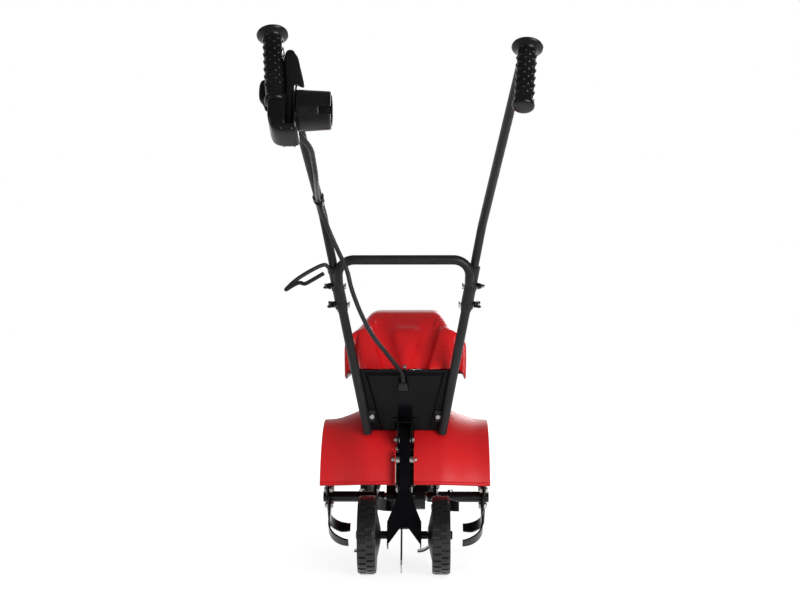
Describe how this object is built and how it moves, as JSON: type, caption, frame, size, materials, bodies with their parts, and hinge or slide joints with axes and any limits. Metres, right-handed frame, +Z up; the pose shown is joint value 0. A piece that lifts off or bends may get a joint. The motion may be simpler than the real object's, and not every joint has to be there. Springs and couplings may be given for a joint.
{
  "type": "electric tiller",
  "caption": "Corded electric garden tiller: bent tine stars under a two-part guard, hooded motor over a worm drive, folding transport wheels, depth stake and bent tube handles.",
  "frame": {"origin": "on the ground under the middle of the object's box", "axes": "+Z up, +Y forward, the way the tiller is pushed, +X to the operator's right"},
  "size_m": [0.5285, 1.098, 1.1247],
  "materials": {
    "hood_red": "glossy moulded red",
    "guard_red": "gloss red enamel on sheet steel",
    "tube_black": "semi-gloss black powder coat",
    "frame_black": "semi-gloss black powder coat",
    "tine_black": "black paint on forged steel",
    "case_black": "black paint on cast aluminium",
    "grip_rubber": "soft matt black",
    "wheel_black": "moulded black",
    "switch_black": "fine-grained moulded black",
    "trim_black": "moulded black",
    "lead_sheath": "smooth black sheath",
    "zinc": "bright zinc plate",
    "steel": "ground steel",
    "stake_steel": "black above, bare at the tip",
    "aluminium": "cast and drawn aluminium",
    "brass": "plain brass",
    "bronze": "cut bronze",
    "copper": "enamelled wire, drawn as rings",
    "seal_rubber": "matt black"
  },
  "bodies": {
    "frame": {"bearings": "steel", "capacitor": "aluminium", "case_bolts": "zinc", "cord_hook": "tube_black", "cross_brace": "tube_black", "frame_bolts": "zinc", "gear_case_left": "case_black", "gear_case_right": "case_black", "grip_left": "grip_rubber", "grip_right": "grip_rubber", "guard_left": "guard_red", "guard_right": "guard_red", "handle_bar_left": "tube_black", "handle_bar_right": "tube_black", "hitch_bracket": "frame_black", "hood": "hood_red", "inlet_pins": "brass", "inlet_shroud": "switch_black", "lead_holders": "trim_black", "leg_left": "tube_black", "leg_right": "tube_black", "motor_base": "case_black", "motor_end_bell_upper": "aluminium", "motor_lead": "lead_sheath", "motor_shell": "aluminium", "rear_panel": "frame_black", "shaft_seals": "seal_rubber", "sleeve_bolts": "zinc", "small_screws": "zinc", "stake_guide": "trim_black", "stator_core": "steel", "stator_windings": "copper", "strut": "frame_black", "switch_cover": "switch_black", "switch_housing": "switch_black", "switch_module": "trim_black", "terminal_block": "trim_black", "wing_nuts": "trim_black"},
    "tines": {"tine_hub_left": "tine_black", "tine_hub_right": "tine_black", "outer_blades_left": "tine_black", "outer_blades_right": "tine_black", "inner_blades_left": "tine_black", "inner_blades_right": "tine_black", "tine_bolts": "zinc", "output_shaft": "steel", "hub_pins": "zinc", "worm_wheel": "bronze"},
    "rotor": {"motor_shaft": "steel", "rotor_core": "steel", "motor_fan": "trim_black"},
    "wheel_fork": {"wheel_fork": "frame_black", "stub_axles": "frame_black", "axle_caps": "switch_black"},
    "left_wheel": {"wheel_left": "wheel_black"},
    "right_wheel": {"wheel_right": "wheel_black"},
    "stake": {"depth_stake": "stake_steel"},
    "stake_screw": {"stake_screw": "trim_black"},
    "lever": {"switch_lever": "switch_black"},
    "lock_button": {"lock_button": "switch_black"}
  },
  "joints": [
    {"name": "tine_spin", "type": "hinge", "parent": "frame", "child": "tines", "pos_m": [0, 0.345, 0.1345], "axis": [-1, 0, 0], "continuous": true},
    {"name": "rotor_spin", "type": "hinge", "parent": "frame", "child": "rotor", "pos_m": [0, 0.404, 0.4], "axis": [0, 0, 1], "continuous": true},
    {"name": "wheel_fork_fold", "type": "hinge", "parent": "frame", "child": "wheel_fork", "pos_m": [0, 0.135, 0.185], "axis": [-1, 0, 0], "range_deg": [0, 90]},
    {"name": "left_wheel_spin", "type": "hinge", "parent": "wheel_fork", "child": "left_wheel", "pos_m": [-0.0825, 0.09, 0.087], "axis": [-1, 0, 0], "continuous": true},
    {"name": "right_wheel_spin", "type": "hinge", "parent": "wheel_fork", "child": "right_wheel", "pos_m": [0.0825, 0.09, 0.087], "axis": [-1, 0, 0], "continuous": true},
    {"name": "stake_slide", "type": "slide", "parent": "frame", "child": "stake", "axis": [0, -0.3993, -0.9168], "range_m": [-0.008, 0.045]},
    {"name": "stake_screw_turn", "type": "hinge", "parent": "frame", "child": "stake_screw", "pos_m": [-0.006, 0.10626, 0.119], "axis": [0, -0.9168, 0.3993], "range_deg": [0, 360]},
    {"name": "lever_squeeze", "type": "hinge", "parent": "frame", "child": "lever", "pos_m": [-0.19355, -0.51931, 0.92774], "axis": [-1, 0, 0], "range_deg": [0, 8], "stiffness_Nm_per_rad": 2, "springref_deg": -14.32},
    {"name": "lock_button_press", "type": "slide", "parent": "frame", "child": "lock_button", "axis": [1, 0, 0], "range_m": [0, 0.0034], "stiffness_N_per_m": 600, "springref_m": -0.003}
  ],
  "couplings": [
    {"joint": "rotor_spin", "follows": "tine_spin", "ratio": 18}
  ]
}
